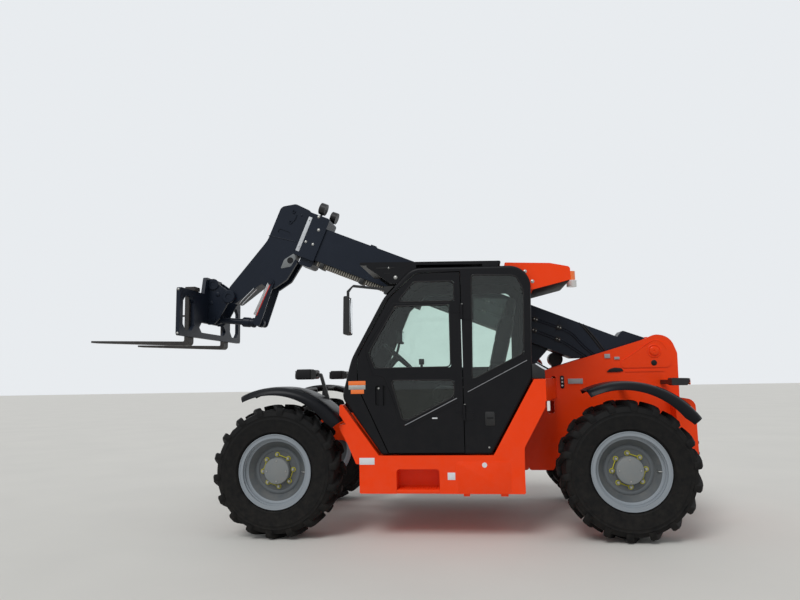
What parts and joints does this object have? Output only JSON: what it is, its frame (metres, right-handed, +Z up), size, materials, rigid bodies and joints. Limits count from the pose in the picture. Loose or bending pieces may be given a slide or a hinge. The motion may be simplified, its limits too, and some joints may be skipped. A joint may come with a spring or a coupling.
{
  "type": "telehandler",
  "caption": "Telescopic handler with a side cab, a raised telescopic boom, a fork carriage and four steered wheels.",
  "frame": {"origin": "on the ground, under the middle of the whole machine with its boom as parked", "axes": "+X forward along the forks, +Y to the driver's left, +Z up"},
  "size_m": [6.1742, 2.24, 3.3278],
  "materials": {
    "body": "gloss",
    "boom": "satin",
    "cab": "satin",
    "axle": "satin",
    "rim": "satin",
    "tyre": "matt",
    "glass": "clear",
    "plastic": "matt",
    "engine": "matt",
    "lens": "gloss",
    "seat": "woven",
    "hose": "matt",
    "chrome": "polished"
  },
  "bodies": {
    "chassis": {"beacon": "lens", "cab_frame": "cab", "cab_glass": "glass", "chassis_frame": "body", "counterweight": "body", "dashboard": "plastic", "engine_block": "engine", "engine_hood": "body", "exhaust_and_intake": "plastic", "front_axle": "axle", "front_fenders": "plastic", "left_sill": "body", "mirror": "plastic", "rear_axle": "axle", "rear_fenders": "plastic", "rear_roof_cover": "body", "road_lamps": "plastic", "roof_visor": "cab", "seat_base": "plastic", "seat_cushions": "seat", "steering_wheel": "plastic", "tow_hitch": "axle"},
    "front_left_knuckle": {"front_left_knuckle": "axle"},
    "front_left_wheel": {"front_left_rim": "rim", "front_left_tyre": "tyre"},
    "front_right_knuckle": {"front_right_knuckle": "axle"},
    "front_right_wheel": {"front_right_rim": "rim", "front_right_tyre": "tyre"},
    "rear_left_knuckle": {"rear_left_knuckle": "axle"},
    "rear_left_wheel": {"rear_left_rim": "rim", "rear_left_tyre": "tyre"},
    "rear_right_knuckle": {"rear_right_knuckle": "axle"},
    "rear_right_wheel": {"rear_right_rim": "rim", "rear_right_tyre": "tyre"},
    "door": {"door_frame": "cab", "door_glass": "glass"},
    "boom": {"boom_outer": "boom", "boom_lamps": "plastic", "hose_guard": "hose"},
    "boom_extension": {"boom_inner": "boom"},
    "tilt_rocker": {"tilt_rocker": "boom"},
    "tilt_link": {"tilt_link": "boom"},
    "carriage": {"coupler": "boom", "fork_carriage": "boom", "forks": "boom"},
    "lift_barrel": {"lift_barrel": "boom"},
    "lift_rod": {"lift_rod": "chrome"}
  },
  "joints": [
    {"name": "boom_lift", "type": "hinge", "parent": "chassis", "child": "boom", "pos_m": [-2.66708, -0.05, 1.623], "axis": [0, -1, 0], "range_deg": [-23, 44]},
    {"name": "boom_extend", "type": "slide", "parent": "boom", "child": "boom_extension", "axis": [0.9232, 0, 0.3843], "range_m": [0, 2.6]},
    {"name": "carriage_tilt", "type": "hinge", "parent": "boom_extension", "child": "carriage", "pos_m": [1.74078, -0.05, 2.3194], "axis": [0, 1, 0], "range_deg": [-30, 90]},
    {"name": "rocker_swing", "type": "hinge", "parent": "boom_extension", "child": "tilt_rocker", "pos_m": [1.28229, -0.05, 2.46325], "axis": [0, 1, 0], "range_deg": [-21, 63]},
    {"name": "link_swing", "type": "hinge", "parent": "tilt_rocker", "child": "tilt_link", "pos_m": [1.42742, -0.05, 2.03201], "axis": [0, 1, 0], "range_deg": [-60, 20]},
    {"name": "lift_barrel_swing", "type": "hinge", "parent": "chassis", "child": "lift_barrel", "pos_m": [-2.60708, -0.05, 0.86], "axis": [0, -1, 0], "range_deg": [-18, 33]},
    {"name": "lift_rod_slide", "type": "slide", "parent": "lift_barrel", "child": "lift_rod", "axis": [0.8534, 0, 0.5212], "range_m": [-0.26, 0.48]},
    {"name": "front_left_steer", "type": "hinge", "parent": "chassis", "child": "front_left_knuckle", "pos_m": [0.89292, 0.76, 0.59], "axis": [0, 0, 1], "range_deg": [-30, 30]},
    {"name": "front_left_roll", "type": "hinge", "parent": "front_left_knuckle", "child": "front_left_wheel", "pos_m": [0.89292, 0.915, 0.59], "axis": [0, 1, 0], "continuous": true},
    {"name": "front_right_steer", "type": "hinge", "parent": "chassis", "child": "front_right_knuckle", "pos_m": [0.89292, -0.76, 0.59], "axis": [0, 0, 1], "range_deg": [-30, 30]},
    {"name": "front_right_roll", "type": "hinge", "parent": "front_right_knuckle", "child": "front_right_wheel", "pos_m": [0.89292, -0.915, 0.59], "axis": [0, 1, 0], "continuous": true},
    {"name": "rear_left_steer", "type": "hinge", "parent": "chassis", "child": "rear_left_knuckle", "pos_m": [-2.18708, 0.76, 0.59], "axis": [0, 0, 1], "range_deg": [-30, 30]},
    {"name": "rear_left_roll", "type": "hinge", "parent": "rear_left_knuckle", "child": "rear_left_wheel", "pos_m": [-2.18708, 0.915, 0.59], "axis": [0, 1, 0], "continuous": true},
    {"name": "rear_right_steer", "type": "hinge", "parent": "chassis", "child": "rear_right_knuckle", "pos_m": [-2.18708, -0.76, 0.59], "axis": [0, 0, 1], "range_deg": [-30, 30]},
    {"name": "rear_right_roll", "type": "hinge", "parent": "rear_right_knuckle", "child": "rear_right_wheel", "pos_m": [-2.18708, -0.915, 0.59], "axis": [0, 1, 0], "continuous": true},
    {"name": "door_swing", "type": "hinge", "parent": "chassis", "child": "door", "pos_m": [-0.80708, 1.059, 0], "axis": [0, 0, 1], "range_deg": [0, 100]}
  ],
  "couplings": [
    {"joint": "rocker_swing", "follows": "carriage_tilt", "ratio": 0.69},
    {"joint": "link_swing", "follows": "carriage_tilt", "ratio": -0.65},
    {"joint": "lift_barrel_swing", "follows": "boom_lift", "ratio": 0.72},
    {"joint": "lift_rod_slide", "follows": "boom_lift", "m_per_rad": 0.6},
    {"joint": "front_right_steer", "follows": "front_left_steer", "ratio": 1},
    {"joint": "rear_right_steer", "follows": "rear_left_steer", "ratio": 1}
  ]
}
